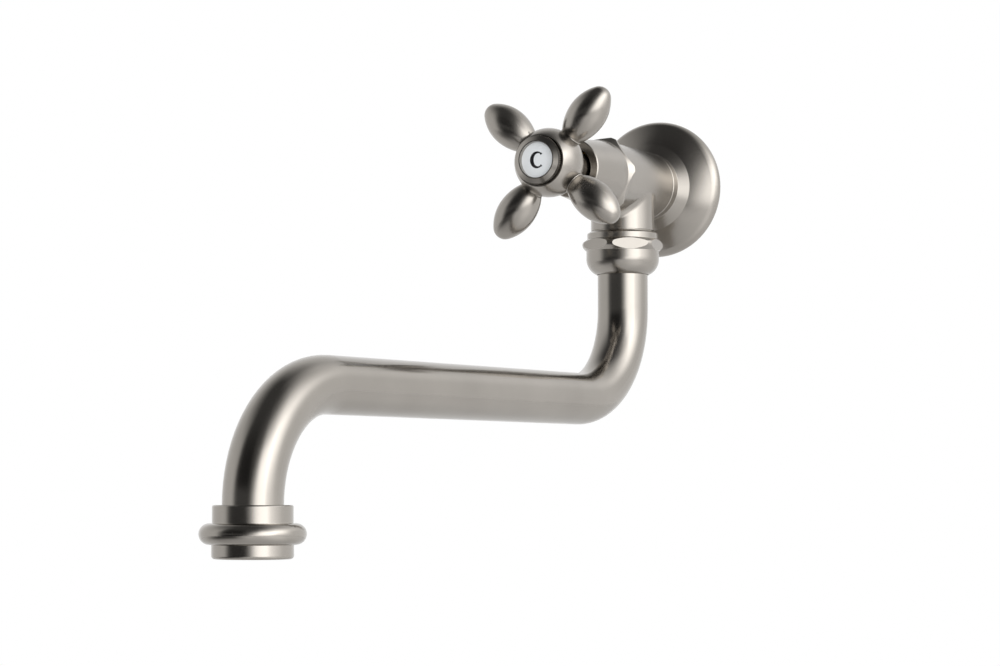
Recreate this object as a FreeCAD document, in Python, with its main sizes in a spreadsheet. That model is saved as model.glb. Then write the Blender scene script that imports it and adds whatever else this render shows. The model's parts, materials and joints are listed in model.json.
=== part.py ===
import FreeCAD, Part
import math
import os
import re
import Sketcher

# Wall-mounted tap: one inlet through a round wall flange, a horizontal body that holds a
# quarter-turn ceramic cartridge under a hexagonal bonnet, a cross handle with a porcelain
# index, and a long S-shaped spout that swivels under the body's downward branch.
#
# Frame: the origin is the centre of the inlet where it meets the wall, +Z is up, the wall
# fills +Y and the tap stands out towards -Y. Millimetres.
#
# Words used for places: a "depth" is a distance out from the wall along the barrel, a
# "drop" is a distance down from the barrel's axis, and a "span" is a distance out from the
# handle's axis along an arm.

SIZES = {
    # clearances
    "running_gap": 0.05,          # radial gap of a part that turns in another
    "slip_gap": 0.2,              # gap of parts that slide together once
    "free_gap": 0.35,             # gap of parts that pass without touching
    "overcut": 1.0,               # how far a cutter reaches past its stock
    "seal_room": 1.25,            # half width of a seal's groove over the seal's own radius
    # wall flange
    "flange_r": 30.65,
    "flange_band": 0.6,           # straight band at the rim
    "flange_rim_round": 5.5,
    "flange_shoulder_r": 28.2,    # where the rounded rim meets the outer face
    "flange_shoulder_depth": 4.6,
    "flange_face_round": 50.0,    # radius of the nearly straight outer face
    "flange_crease_r": 19.6,      # where the outer face meets the inner cone
    "flange_crease_depth": 9.4,
    "flange_cone_depth": 12.3,    # where the inner cone meets the neck
    "flange_depth": 17.0,         # where the neck ends against the body
    "flange_edge": 0.35,          # bevels of the seam between neck and body
    "flange_wall": 2.0,
    "flange_seal_section": 0.6,
    # inlet
    "inlet_r": 10.48,             # G1/2 outside thread
    "inlet_bore_r": 7.4,
    "inlet_tail": 14.0,           # length of thread that goes into the wall
    "inlet_hex_flats": 22.0,
    "inlet_hex_t": 3.0,
    "inlet_socket": 15.5,         # length of thread in the body, with the washer
    "inlet_washer_t": 1.5,
    "inlet_edge": 0.5,
    # body
    "barrel_r": 15.2,
    "barrel_length": 46.2,        # in front of the flange
    "boss_r": 13.2,               # rear boss that the flange slides on
    "waterway_r": 6.5,
    "branch_depth": 39.0,
    "branch_r": 13.9,
    "branch_drop": 22.1,          # shoulder of the branch above its thread
    "branch_thread_r": 13.22,     # G3/4 outside thread
    "branch_thread_t": 8.4,
    "branch_bore_r": 9.0,
    "saddle_fillet": 4.0,
    "chamber_r": 11.4,
    "neck_r": 13.0,               # front neck that the bonnet screws on
    "neck_length": 6.5,
    # cartridge
    "cartridge_thread_r": 10.48,  # G1/2 thread of the cartridge
    "cartridge_reach": 42.7,      # from its clamped collar back to the seat in the body
    "seal_stand": 0.8,            # how far the seat seal stands out of the cartridge
    "seat_seal_t": 2.4,
    "seat_seal_bore_r": 5.2,
    "disc_r": 7.2,
    "disc_t": 3.0,
    "port_inner_r": 2.2,
    "port_outer_r": 5.8,
    "port_angle": 76.0,
    "disc_ear_width": 3.0,
    "cage_r": 8.8,
    "cage_length": 21.5,
    "thread_set": 25.0,           # from the seat to the cartridge's thread
    "window_set": 9.2,            # from the seat to the cage's windows
    "window_length": 6.8,
    "window_width": 8.0,
    "drive_length": 10.6,         # from the moving disc to the thrust washer
    "thrust_washer_t": 0.8,
    "collar_t": 3.0,
    "flange_t": 2.8,              # collar of the cartridge clamped by the bonnet
    "flange_collar_r": 12.0,
    "spanner_flats": 16.5,
    "spanner_length": 6.0,
    "sleeve_r": 7.4,
    "sleeve_sunk": 6.2,           # how far the sleeve ends inside the bonnet's mouth
    # spindle
    "stem_r": 4.0,
    "drive_blade_t": 2.2,
    "drive_slot_depth": 1.4,
    "drive_stem_r": 3.1,
    "stem_seal_set": 8.5,         # from the thrust face to the first stem seal
    "stem_seal_pitch": 5.0,
    "stem_seal_section": 0.65,
    "clip_t": 0.8,
    "clip_r": 6.2,
    "clip_groove": 0.7,
    "clip_mouth": 4.6,
    "spline_set": 7.3,            # from the spindle's end to the plane of the arms
    "spline_length": 14.0,
    "spline_teeth": 20,
    "spline_tooth": 0.35,
    "spline_share": 0.5,          # part of the pitch that a tooth space takes
    "screw_r": 2.5,               # M5
    "screw_reach": 13.0,
    # bonnet
    "bonnet_flats": 30.6,
    "bonnet_angle": 6.5,          # corner of its hexagon, from +X towards +Z
    "bonnet_length": 29.0,
    "bonnet_front_r": 12.5,
    "bonnet_bore_r": 8.6,
    "bonnet_dish": 0.7,           # how deep its front face is dished
    "bonnet_lip": 0.5,            # rounded inner edge of that face
    "bonnet_cone_r": 14.55,       # cone where the flare of the hexagon starts
    "bonnet_corner_t": 0.5,       # length of the hexagon's corners at full width
    "bonnet_corner_r": 17.0,
    "bonnet_bevel_t": 2.5,        # bevel in front of those corners
    "bonnet_bevel_r": 14.9,
    "bonnet_flare_t": 3.5,
    "bonnet_flare_round": 17.0,
    "bonnet_edge": 0.4,
    "bonnet_cavity_r": 10.0,
    "bonnet_mouth_t": 8.2,
    # handle
    "handle_standoff": 19.1,      # from the bonnet's front to the plane of the arms
    "hub_r": 14.4,
    "hub_ahead": 2.7,             # centre of the ball, in front of the plane of the arms
    "hub_reach": 9.3,             # from the ball's centre to its flat front
    "hub_neck_r": 7.5,
    "hub_waist_r": 6.1,           # the neck's radius where it meets the ball
    "hub_neck_reach": 4.2,        # how far the neck runs into the bonnet's mouth
    "hub_web": 3.2,               # web between the spline socket and the screw head
    "screw_well_r": 5.4,
    "arm_count": 4,
    "arm_angle": 50.1,            # first arm, from +X towards +Z
    "arm_seat": 13.45,            # flat spot on the hub that an arm's bead seats on
    "arm_stub_r": 3.4,
    "arm_stub_length": 5.25,
    "arm_bead_r": 4.9,
    "arm_bead_t": 0.8,
    "arm_bead_round": 0.5,
    "arm_groove_r": 4.55,
    "arm_groove_t": 0.2,
    "arm_root_r": 5.0,
    "arm_wide_r": 7.95,
    "arm_wide_span": 25.3,
    "arm_tip_span": 38.75,
    "arm_tip_round": 5.0,
    "screw_head_r": 4.2,
    "screw_head_t": 3.4,
    "screw_washer_t": 0.8,
    "screw_key_flats": 4.0,
    "screw_key_depth": 2.0,
    "screw_end_room": 1.0,        # free depth of the hole below the screw
    # index
    "index_well_r": 10.5,
    "index_well_depth": 5.7,
    "index_plug_r": 9.8,
    "index_ring_section": 0.7,
    "coin_r": 10.2,
    "coin_sunk": 0.9,             # how far the coin edge starts inside the hub
    "coin_t": 3.1,
    "coin_notches": 72,
    "coin_notch": 0.35,
    "coin_share": 0.8,            # part of the pitch that a notch takes
    "bezel_cone_t": 1.1,
    "bezel_lip_r": 7.95,
    "porcelain_r": 7.5,
    "porcelain_t": 2.4,
    "porcelain_sunk": 2.1,        # how far the porcelain's edge lies below the bezel's lip
    "porcelain_crown": 0.5,
    # swivel nut
    "nut_flats": 32.0,
    "nut_gap": 0.5,               # from the branch's shoulder to the nut
    "nut_collar_r": 15.55,
    "nut_collar_t": 3.35,
    "nut_rim_r": 14.2,            # narrow end of the collar's upper bevel
    "nut_rim_t": 0.95,
    "nut_upper_bevel_t": 1.4,     # bevels above and below the hexagon's rounded corners
    "nut_lower_bevel_t": 1.5,
    "nut_crest_t": 2.35,
    "nut_crest_r": 17.45,         # where its corners start to round
    "nut_crest_round": 2.1,
    "nut_angle": 35.4,            # direction of one flat, from the front towards +X
    "nut_bell_r": 15.95,
    "nut_bell_t": 3.3,
    "nut_dome_t": 7.0,
    "nut_round": 7.6,
    "nut_mouth_gap": 0.45,
    "swivel_washer_t": 0.9,
    "swivel_collar_t": 2.6,
    "swivel_collar_r": 12.6,
    "ferrule_bore_r": 6.6,
    "ferrule_edge": 0.5,
    "ferrule_socket": 7.0,        # length of ferrule inside the tube
    "ferrule_plug": 17.0,         # length of ferrule inside the branch
    "ferrule_seal_set": 6.0,      # from the branch's end to the lower seal
    "ferrule_seal_pitch": 5.5,
    "ferrule_seal_section": 0.9,
    # spout
    "spout_swing": -5.46,         # resting direction, from straight out towards +X
    "spout_reach": 266.1,
    "tube_r": 11.0,
    "tube_wall": 1.0,
    "run_drop": 97.0,             # level of the horizontal run's centre line
    "upper_bend_r": 40.0,
    "lower_bend_r": 44.0,
    # outlet
    "outlet_r": 14.4,
    "outlet_length": 6.4,         # of the fitting above its ring
    "outlet_edge": 0.4,
    "ring_t": 7.6,
    "ring_r": 19.1,
    "tube_in_outlet": 5.0,
    "outlet_bore_r": 9.4,
    "aerator_thread_r": 13.2,
    "aerator_thread_t": 6.4,
    "aerator_washer_t": 1.8,
    "aerator_stand": 5.05,        # how far the aerator stands out below the ring
    "aerator_r": 14.6,
    "aerator_round": 1.2,
    "aerator_wall": 1.5,
    "aerator_lip_r": 10.4,
    "aerator_lip_t": 1.2,
    "screen_t": 0.6,
    "insert_rim": 1.4,
    "insert_floor": 2.4,
    "slot_count": 18,
    "slot_width": 0.9,
    "slot_inner_r": 3.4,
    "slot_outer_r": 8.6,
}

PLACES = {
    # body and inlet, from the wall outwards
    "inlet_seat_depth": "inlet_hex_t + inlet_socket",
    "inlet_end": "inlet_seat_depth - inlet_washer_t",
    "barrel_end": "flange_depth + barrel_length",
    "neck_end": "barrel_end + neck_length",
    "flange_bore_r": "boss_r + slip_gap",
    "flange_seal_depth": "flange_cone_depth - flange_wall",
    # cartridge, from the seat outwards
    "seat_depth": "neck_end - cartridge_reach",
    "cartridge_back": "seat_depth + seal_stand",
    "fixed_disc_start": "seat_depth + seat_seal_t",
    "moving_disc_start": "fixed_disc_start + disc_t",
    "moving_disc_end": "moving_disc_start + disc_t",
    "window_start": "seat_depth + window_set",
    "window_end": "window_start + window_length",
    "thrust_start": "moving_disc_end + drive_length",
    "cage_end": "seat_depth + cage_length",
    "thread_start": "seat_depth + thread_set",
    "cage_bore_r": "disc_r + running_gap",
    "cage_bore_end": "thrust_start + thrust_washer_t",
    "stem_bore_r": "stem_r + running_gap",
    "stem_seal_one": "thrust_start + stem_seal_set",
    "stem_seal_two": "stem_seal_one + stem_seal_pitch",
    "stem_seal_floor": "stem_r - 2 * stem_seal_section + running_gap / 2",
    "cartridge_collar_end": "neck_end + flange_t",
    # bonnet
    "bonnet_bevel_start": "barrel_end + bonnet_corner_t",
    "bonnet_bevel_end": "bonnet_bevel_start + bonnet_bevel_t",
    "bonnet_cone_depth": "bonnet_bevel_end + bonnet_flare_t",
    "bonnet_end": "barrel_end + bonnet_length",
    "bonnet_cavity_end": "bonnet_end - bonnet_mouth_t",
    "sleeve_end": "bonnet_end - sleeve_sunk",
    "clip_start": "sleeve_end + running_gap",
    "clip_end": "clip_start + clip_t",
    "clip_floor": "stem_r - clip_groove",
    # handle
    "arm_depth": "bonnet_end + handle_standoff",
    "hub_centre": "arm_depth + hub_ahead",
    "hub_front": "hub_centre + hub_reach",
    "hub_front_r": "sqrt(hub_r ^ 2 - hub_reach ^ 2)",
    "hub_waist": "hub_centre - sqrt(hub_r ^ 2 - hub_waist_r ^ 2)",
    "hub_back": "bonnet_end - hub_neck_reach",
    "spline_end": "arm_depth - spline_set",
    "spline_start": "spline_end - spline_length",
    "screw_bottom": "spline_end - screw_reach",
    "socket_end": "spline_end + slip_gap",
    "screw_seat": "socket_end + hub_web",
    "screw_head_start": "screw_seat + screw_washer_t",
    "arm_stub_start": "arm_seat - arm_stub_length",
    "arm_bead_end": "arm_seat + arm_bead_t",
    "arm_groove_end": "arm_bead_end + arm_groove_t",
    "arm_root_round": "((arm_wide_span - arm_groove_end) ^ 2 + (arm_wide_r - arm_root_r) ^ 2)"
                      " / 2 / (arm_wide_r - arm_root_r)",
    "arm_half": "arm_tip_span - arm_wide_span",
    "arm_belly_round": "(arm_wide_r ^ 2 + arm_half ^ 2 - 2 * arm_half * arm_tip_round)"
                       " / 2 / (arm_wide_r - arm_tip_round)",
    # index
    "index_seat": "hub_front - index_well_depth",
    "coin_start": "hub_front - coin_sunk",
    "coin_end": "coin_start + coin_t",
    "bezel_front": "coin_end + bezel_cone_t",
    "porcelain_edge": "bezel_front - porcelain_sunk",
    "porcelain_back": "porcelain_edge - porcelain_t",
    # swivel, from the barrel's axis downwards
    "branch_end": "branch_drop + branch_thread_t",
    "nut_top": "branch_drop + nut_gap",
    "nut_hex_start": "nut_top + nut_collar_t",
    "nut_crest_start": "nut_hex_start + nut_upper_bevel_t",
    "nut_crest_end": "nut_crest_start + nut_crest_t",
    "nut_hex_end": "nut_crest_end + nut_lower_bevel_t",
    "nut_bell_end": "nut_hex_end + nut_bell_t",
    "nut_end": "nut_bell_end + nut_dome_t",
    "upper_washer_end": "branch_end + swivel_washer_t",
    "swivel_collar_start": "upper_washer_end + running_gap",
    "swivel_collar_end": "swivel_collar_start + swivel_collar_t",
    "lower_washer_start": "swivel_collar_end + running_gap",
    "lower_washer_end": "lower_washer_start + swivel_washer_t",
    "nut_mouth_r": "tube_r + nut_mouth_gap",
    "swivel_well_r": "swivel_collar_r + free_gap",
    "ferrule_top": "branch_end - ferrule_plug",
    "ferrule_seal_two": "branch_end - ferrule_seal_set",
    "ferrule_seal_one": "ferrule_seal_two - ferrule_seal_pitch",
    "ferrule_r": "branch_bore_r - running_gap",
    "ferrule_floor": "ferrule_r - 2 * ferrule_seal_section + running_gap / 2",
    # outlet
    "tube_bore_r": "tube_r - tube_wall",
    "outlet_top": "run_drop + lower_bend_r",
    "tube_end": "outlet_top + tube_in_outlet",
    "ring_top": "outlet_top + outlet_length",
    "ring_end": "ring_top + ring_t",
    "aerator_seat": "ring_end - aerator_thread_t",
    "aerator_stem_top": "aerator_seat + aerator_washer_t",
    "aerator_bore_r": "aerator_thread_r - aerator_wall",
    "aerator_end": "ring_end + aerator_stand",
    "aerator_floor": "aerator_end - aerator_lip_t",
    "screen_end": "aerator_stem_top + screen_t",
}

OWNER = {**dict.fromkeys(SIZES, "Sizes."), **dict.fromkeys(PLACES, "Places.")}
HEX = 6
Vector = FreeCAD.Vector
doc = FreeCAD.newDocument("WallTap")


def bound(formula):
    """The formula with every size written as a cell of its sheet"""
    return re.sub(r"[a-z]\w*", lambda word: OWNER.get(word.group(), "") + word.group(), formula)


def sheet(name, cells):
    """A spreadsheet with a name and a value or formula in each row"""
    table = doc.addObject("Spreadsheet::Sheet", name)
    for row, (alias, content) in enumerate(cells.items(), start=1):
        table.set(f"A{row}", alias)
        table.set(f"B{row}", "=" + bound(content) if isinstance(content, str) else str(content))
        table.setAlias(f"B{row}", alias)
    doc.recompute()
    return table


sizes = sheet("Sizes", SIZES)
places = sheet("Places", PLACES)


def number(formula):
    return float(sizes.evalExpression(bound(formula)))


# Frames: every turned piece is drawn with its axis along its own Z.
OUT_OF_WALL = FreeCAD.Rotation(Vector(1, 0, 0), 90)
DOWNWARDS = FreeCAD.Rotation(Vector(1, 0, 0), 180)
SPOUT_TURN = FreeCAD.Rotation(Vector(0, 0, 1), number("spout_swing")) * DOWNWARDS
AT_WALL = ("0", "0", "0")
AT_BRANCH = ("0", "-branch_depth", "0")
AT_OUTLET = ("spout_reach * sin(spout_swing)", "-branch_depth - spout_reach * cos(spout_swing)", "0")
nodes = []


def piece(name, base=AT_WALL, turn=OUT_OF_WALL):
    """An empty body for one physical piece"""
    body = doc.addObject("PartDesign::Body", name)
    body.Label = name
    body.Placement = FreeCAD.Placement(Vector(*[number(part) for part in base]), turn)
    for axis, part in zip("xyz", base):
        if part != "0":
            body.setExpression(f"Placement.Base.{axis}", bound(part))
    nodes.append(body)
    return body


def origin_part(body, role):
    return [part for part in body.Origin.OriginFeatures if part.Role == role][0]


def new_sketch(body, name, plane, level="0"):
    """A sketch on one of the body's own planes, lifted to a level along its normal"""
    sketch = body.newObject("Sketcher::SketchObject", name)
    sketch.AttachmentSupport = [(origin_part(body, plane), "")]
    sketch.MapMode = "FlatFace"
    if level != "0":
        sketch.AttachmentOffset = FreeCAD.Placement(Vector(0, 0, number(level)), FreeCAD.Rotation())
        sketch.setExpression("AttachmentOffset.Base.z", bound(level))
    return sketch


def named(sketch, constraint, name, formula):
    sketch.renameConstraint(sketch.addConstraint(constraint), name)
    sketch.setExpression(f"Constraints.{name}", bound(formula))


def hold(sketch, edge, point, name, across, along):
    """Ties one point of a sketch to its distances from the sketch's two axes"""
    if across == "0":
        sketch.addConstraint(Sketcher.Constraint("PointOnObject", edge, point, -2))
    else:
        value = number(across)
        named(sketch, Sketcher.Constraint("DistanceX", edge, point, value), f"{name}_across", across)
    if along == "0":
        sketch.addConstraint(Sketcher.Constraint("PointOnObject", edge, point, -1))
    else:
        value = number(along)
        named(sketch, Sketcher.Constraint("DistanceY", edge, point, value), f"{name}_along", along)


def arc_between(start, end, radius, side):
    """Short arc from start to end whose centre lies to the left or right of that way"""
    half = (end - start) * 0.5
    lean = Vector(-half.y, half.x, 0).normalize() * (1 if side == "left" else -1)
    centre = start + half + lean * math.sqrt(max(radius ** 2 - half.Length ** 2, 0))
    first, last = (start, end) if side == "left" else (end, start)
    angles = [math.atan2(spot.y - centre.y, spot.x - centre.x) for spot in (first, last)]
    circle = Part.Circle(centre, Vector(0, 0, 1), radius)
    return Part.ArcOfCircle(circle, angles[0], angles[1])


def outline(sketch, corners, closed=True):
    """Chain of lines and arcs; a corner is (across, along), or with an arc's radius and the
    side of its centre when an arc leads to it"""
    spots = [Vector(number(corner[0]), number(corner[1]), 0) for corner in corners]
    first = sketch.GeometryCount
    ends = []
    pairs = range(len(corners)) if closed else range(1, len(corners))
    for index in pairs:
        corner, start, end = corners[index], spots[index - 1], spots[index]
        if len(corner) == 2:
            edge = sketch.addGeometry(Part.LineSegment(start, end))
            ends.append((edge, 1, 2))
        else:
            shape = arc_between(start, end, number(corner[2]), corner[3])
            edge = sketch.addGeometry(shape)
            ends.append((edge, 1, 2) if corner[3] == "left" else (edge, 2, 1))
    for (edge, start, end), (after, begin, finish) in zip(ends, ends[1:] + ends[:1]):
        if closed or edge != ends[-1][0]:
            sketch.addConstraint(Sketcher.Constraint("Coincident", edge, end, after, begin))
    if not closed:
        hold(sketch, ends[0][0], ends[0][1], f"p{first}", corners[0][0], corners[0][1])
    for (edge, start, end), index in zip(ends, pairs):
        corner = corners[index]
        hold(sketch, edge, end, f"p{edge + 1}", corner[0], corner[1])
        if len(corner) > 2:
            rule = Sketcher.Constraint("Radius", edge, number(corner[2]))
            named(sketch, rule, f"r{edge + 1}", corner[2])
    return sketch


def circle_in(sketch, radius, across="0", along="0"):
    spot = Vector(number(across), number(along), 0)
    edge = sketch.addGeometry(Part.Circle(spot, Vector(0, 0, 1), number(radius)))
    hold(sketch, edge, 3, f"c{edge + 1}", across, along)
    named(sketch, Sketcher.Constraint("Radius", edge, number(radius)), f"r{edge + 1}", radius)
    return sketch


def polygon(flats, first_corner, sides=HEX):
    """Corners of a regular polygon from its distance across flats"""
    reach = f"{flats} / 2 / cos({180 / sides})"
    turns = [f"({first_corner} + {360 / sides * step})" for step in range(sides)]
    return [(f"{reach} * cos{turn}", f"{reach} * sin{turn}") for turn in turns]


def revolve(body, kind, sketch):
    feature = body.newObject(f"PartDesign::{kind}", f"{body.Name}_{kind.lower()}")
    feature.Profile = (sketch, [""])
    feature.ReferenceAxis = (sketch, ["V_Axis"])
    feature.Angle = 360
    return feature


def turned(body, corners):
    """Turned form: the outline's corners are (radius, distance along the axis)"""
    return revolve(body, "Revolution", outline(new_sketch(body, "profile", "XZ_Plane"), corners))


def grooved(body, corners):
    """Turned hollow cut into the body"""
    return revolve(body, "Groove", outline(new_sketch(body, "hollow", "XZ_Plane"), corners))


def raised(body, sketch, length):
    pad = body.newObject("PartDesign::Pad", f"{body.Name}_pad")
    pad.Profile = (sketch, [""])
    pad.setExpression("Length", bound(length))
    return pad


def pocketed(body, sketch, length, upwards=True):
    """Pocket along the sketch's normal, or against it"""
    pocket = body.newObject("PartDesign::Pocket", f"{body.Name}_pocket")
    pocket.Profile = (sketch, [""])
    pocket.Reversed = upwards
    pocket.setExpression("Length", bound(length))
    return pocket


def ringed(body, feature, count):
    """Copies of a feature all round the body's axis"""
    doc.recompute()
    pattern = body.newObject("PartDesign::PolarPattern", f"{body.Name}_pattern")
    pattern.Originals = [feature]
    pattern.Axis = (origin_part(body, "Z_Axis"), [""])
    pattern.Angle = 360
    pattern.Occurrences = int(number(count))
    pattern.setExpression("Occurrences", bound(count))
    body.Tip = pattern
    return pattern


def collar(name, inner, outer, start, end, base=AT_WALL, turn=OUT_OF_WALL):
    """Plain ring such as a washer"""
    body = piece(name, base, turn)
    turned(body, [(inner, start), (outer, start), (outer, end), (inner, end)])
    return body


def cord_rings(name, floor, section, stations, base=AT_WALL, turn=OUT_OF_WALL):
    """Seal rings of round section lying on a groove's floor"""
    body = piece(name, base, turn)
    sketch = new_sketch(body, "sections", "XZ_Plane")
    for station in stations:
        circle_in(sketch, section, f"{floor} + {section}", station)
    revolve(body, "Revolution", sketch)
    return body


def groove_for(body, floor, outer, section, station):
    """Square groove that holds a seal ring"""
    half = f"{section} * seal_room"
    low, high = f"{station} - {half}", f"{station} + {half}"
    return grooved(body, [(floor, low), (outer, low), (outer, high), (floor, high)])


def outside_hexagon(body, level, length, flats, first_corner, clear_r):
    """Cuts away what lies outside a hexagonal prism"""
    sketch = new_sketch(body, "hexagon", "XY_Plane", level)
    outline(sketch, polygon(flats, first_corner))
    circle_in(sketch, clear_r)
    return pocketed(body, sketch, length)


def make_wall_flange():
    body = piece("wall_flange")
    turned(body, [
        ("flange_r - flange_wall", "0"),
        ("flange_r", "0"),
        ("flange_r", "flange_band"),
        ("flange_shoulder_r", "flange_shoulder_depth", "flange_rim_round", "left"),
        ("flange_crease_r", "flange_crease_depth", "flange_face_round", "left"),
        ("barrel_r", "flange_cone_depth"),
        ("barrel_r", "flange_depth - flange_edge"),
        ("barrel_r - flange_edge", "flange_depth"),
        ("flange_bore_r", "flange_depth"),
        ("flange_bore_r", "flange_cone_depth - flange_wall * 2"),
        ("flange_crease_r - flange_wall", "flange_crease_depth - flange_wall"),
        ("flange_shoulder_r - flange_wall", "flange_shoulder_depth - flange_wall"),
    ])
    groove_for(body, "boss_r", "boss_r + 2 * flange_seal_section", "flange_seal_section",
               "flange_seal_depth")


def make_flange_seal():
    """Ring between the flange's bore and the body's boss that keeps the flange in place"""
    cord_rings("flange_seal", "boss_r", "flange_seal_section", ["flange_seal_depth"])


def make_inlet_nipple():
    """Threaded nipple with a spanner hexagon between the wall and the body"""
    body = piece("inlet_nipple")
    hex_corner_r = "inlet_hex_flats / 2 / cos(30)"
    turned(body, [
        ("inlet_bore_r", "-inlet_tail"),
        ("inlet_r - inlet_edge", "-inlet_tail"),
        ("inlet_r", "-inlet_tail + inlet_edge"),
        ("inlet_r", "0"),
        (hex_corner_r, "0"),
        (hex_corner_r, "inlet_hex_t"),
        ("inlet_r", "inlet_hex_t"),
        ("inlet_r", "inlet_end"),
        ("inlet_bore_r", "inlet_end"),
    ])
    outside_hexagon(body, "0", "inlet_hex_t", "inlet_hex_flats", "0", f"{hex_corner_r} + overcut")


def make_inlet_washer():
    collar("inlet_washer", "inlet_bore_r", "inlet_r", "inlet_end", "inlet_seat_depth")


def make_tee_body():
    """Barrel, downward branch and the bores that join them"""
    body = piece("tee_body")
    turned(body, [
        ("0", "inlet_hex_t"),
        ("boss_r", "inlet_hex_t"),
        ("boss_r", "flange_depth"),
        ("barrel_r - flange_edge", "flange_depth"),
        ("barrel_r", "flange_depth + flange_edge"),
        ("barrel_r", "barrel_end"),
        ("neck_r", "barrel_end"),
        ("neck_r", "neck_end"),
        ("0", "neck_end"),
    ])
    branch = circle_in(new_sketch(body, "branch", "XZ_Plane"), "branch_r", "0", "branch_depth")
    pad = raised(body, branch, "branch_drop")
    doc.recompute()
    saddle = body.newObject("PartDesign::Fillet", "saddle")
    saddle.Base = (pad, saddle_edges(pad))
    saddle.setExpression("Radius", bound("saddle_fillet"))
    thread = circle_in(new_sketch(body, "branch_thread", "XZ_Plane"), "branch_thread_r", "0", "branch_depth")
    raised(body, thread, "branch_end")
    grooved(body, [
        ("0", "inlet_hex_t"),
        ("inlet_r", "inlet_hex_t"),
        ("inlet_r", "inlet_seat_depth"),
        ("waterway_r", "inlet_seat_depth"),
        ("waterway_r", "seat_depth"),
        ("chamber_r", "seat_depth"),
        ("chamber_r", "thread_start"),
        ("cartridge_thread_r", "thread_start + chamber_r - cartridge_thread_r"),
        ("cartridge_thread_r", "neck_end"),
        ("0", "neck_end"),
    ])
    bore = circle_in(new_sketch(body, "branch_bore", "XZ_Plane"), "branch_bore_r", "0", "branch_depth")
    pocketed(body, bore, "branch_end")


def saddle_edges(feature):
    """Edges where the branch's wall meets the barrel's wall"""
    wanted = {round(number("barrel_r"), 4), round(number("branch_r"), 4)}
    found = []
    for index, edge in enumerate(feature.Shape.Edges, start=1):
        faces = feature.Shape.ancestorsOfType(edge, Part.Face)
        radii = {round(face.Surface.Radius, 4) for face in faces if hasattr(face.Surface, "Radius")}
        if radii == wanted:
            found.append(f"Edge{index}")
    return found


def make_seat_seal():
    collar("seat_seal", "seat_seal_bore_r", "disc_r", "seat_depth", "fixed_disc_start")


def port_outline(angle):
    """Half of the two ports of a ceramic disc, about a direction given in degrees"""
    low, high = f"({angle} - port_angle / 2)", f"({angle} + port_angle / 2)"
    return [
        (f"port_inner_r * cos{high}", f"port_inner_r * sin{high}"),
        (f"port_inner_r * cos{low}", f"port_inner_r * sin{low}", "port_inner_r", "right"),
        (f"port_outer_r * cos{low}", f"port_outer_r * sin{low}"),
        (f"port_outer_r * cos{high}", f"port_outer_r * sin{high}", "port_outer_r", "left"),
    ]


def make_fixed_disc():
    """Ceramic disc with two ports and two ears that keep it from turning in its cage"""
    body = piece("fixed_disc")
    raised(body, circle_in(new_sketch(body, "disc", "XY_Plane", "fixed_disc_start"), "disc_r"), "disc_t")
    ears = new_sketch(body, "ears", "XY_Plane", "fixed_disc_start")
    half = "disc_ear_width / 2"
    outline(ears, [(f"-{half}", "-cage_r"), (half, "-cage_r"), (half, "cage_r"), (f"-{half}", "cage_r")])
    raised(body, ears, "disc_t")
    port = new_sketch(body, "port", "XY_Plane", "fixed_disc_start")
    cut = pocketed(body, outline(port, port_outline("0")), "disc_t")
    ringed(body, cut, "2")


def make_moving_disc():
    """Ceramic disc that turns with the spindle, shown shut: its ports lie across the fixed ones"""
    body = piece("moving_disc")
    raised(body, circle_in(new_sketch(body, "disc", "XY_Plane", "moving_disc_start"), "disc_r"), "disc_t")
    port = new_sketch(body, "port", "XY_Plane", "moving_disc_start")
    cut = pocketed(body, outline(port, port_outline("90")), "disc_t")
    ringed(body, cut, "2")
    slot = new_sketch(body, "slot", "XY_Plane", "moving_disc_end")
    half = "drive_blade_t / 2"
    outline(slot, [("-disc_r", f"-{half}"), ("disc_r", f"-{half}"), ("disc_r", half), ("-disc_r", half)])
    pocketed(body, slot, "drive_slot_depth", upwards=False)


def make_cartridge_body():
    """Brass headwork: cage round the discs, thread, clamped collar, spanner hexagon, sleeve"""
    body = piece("cartridge_body")
    hex_start = "cartridge_collar_end"
    hex_end = "cartridge_collar_end + spanner_length"
    hex_corner_r = "spanner_flats / 2 / cos(30)"
    turned(body, [
        ("cage_bore_r", "cartridge_back"),
        ("cage_r", "cartridge_back"),
        ("cage_r", "cage_end"),
        ("cartridge_thread_r", "thread_start + chamber_r - cartridge_thread_r"),
        ("cartridge_thread_r", "neck_end"),
        ("flange_collar_r", "neck_end"),
        ("flange_collar_r", "cartridge_collar_end"),
        (hex_corner_r, hex_start),
        (hex_corner_r, hex_end),
        ("sleeve_r", hex_end),
        ("sleeve_r", "sleeve_end"),
        ("stem_bore_r", "sleeve_end"),
        ("stem_bore_r", "cage_bore_end"),
        ("cage_bore_r", "cage_bore_end"),
    ])
    outside_hexagon(body, hex_start, "spanner_length", "spanner_flats", "0", "flange_collar_r + overcut")
    window = new_sketch(body, "window", "XZ_Plane")
    half = "window_width / 2"
    outline(window, [
        (f"-{half}", "window_start"), (half, "window_start"),
        (half, "window_end"), (f"-{half}", "window_end"),
    ])
    ringed(body, pocketed(body, window, "cage_r * 2"), "4")
    key = new_sketch(body, "key", "XY_Plane", "cartridge_back")
    half = "disc_ear_width / 2 + running_gap"
    outline(key, [
        (f"-({half})", "-cage_r - overcut"), (half, "-cage_r - overcut"),
        (half, "cage_r + overcut"), (f"-({half})", "cage_r + overcut"),
    ])
    pocketed(body, key, "fixed_disc_start + disc_t - cartridge_back")
    groove_for(body, "cartridge_thread_r - 2 * stem_seal_section", "cartridge_thread_r + overcut",
               "stem_seal_section", "neck_end - 2 * stem_seal_section")


def make_cartridge_seal():
    cord_rings("cartridge_seal", "cartridge_thread_r - 2 * stem_seal_section", "stem_seal_section",
               ["neck_end - 2 * stem_seal_section"])


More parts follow.
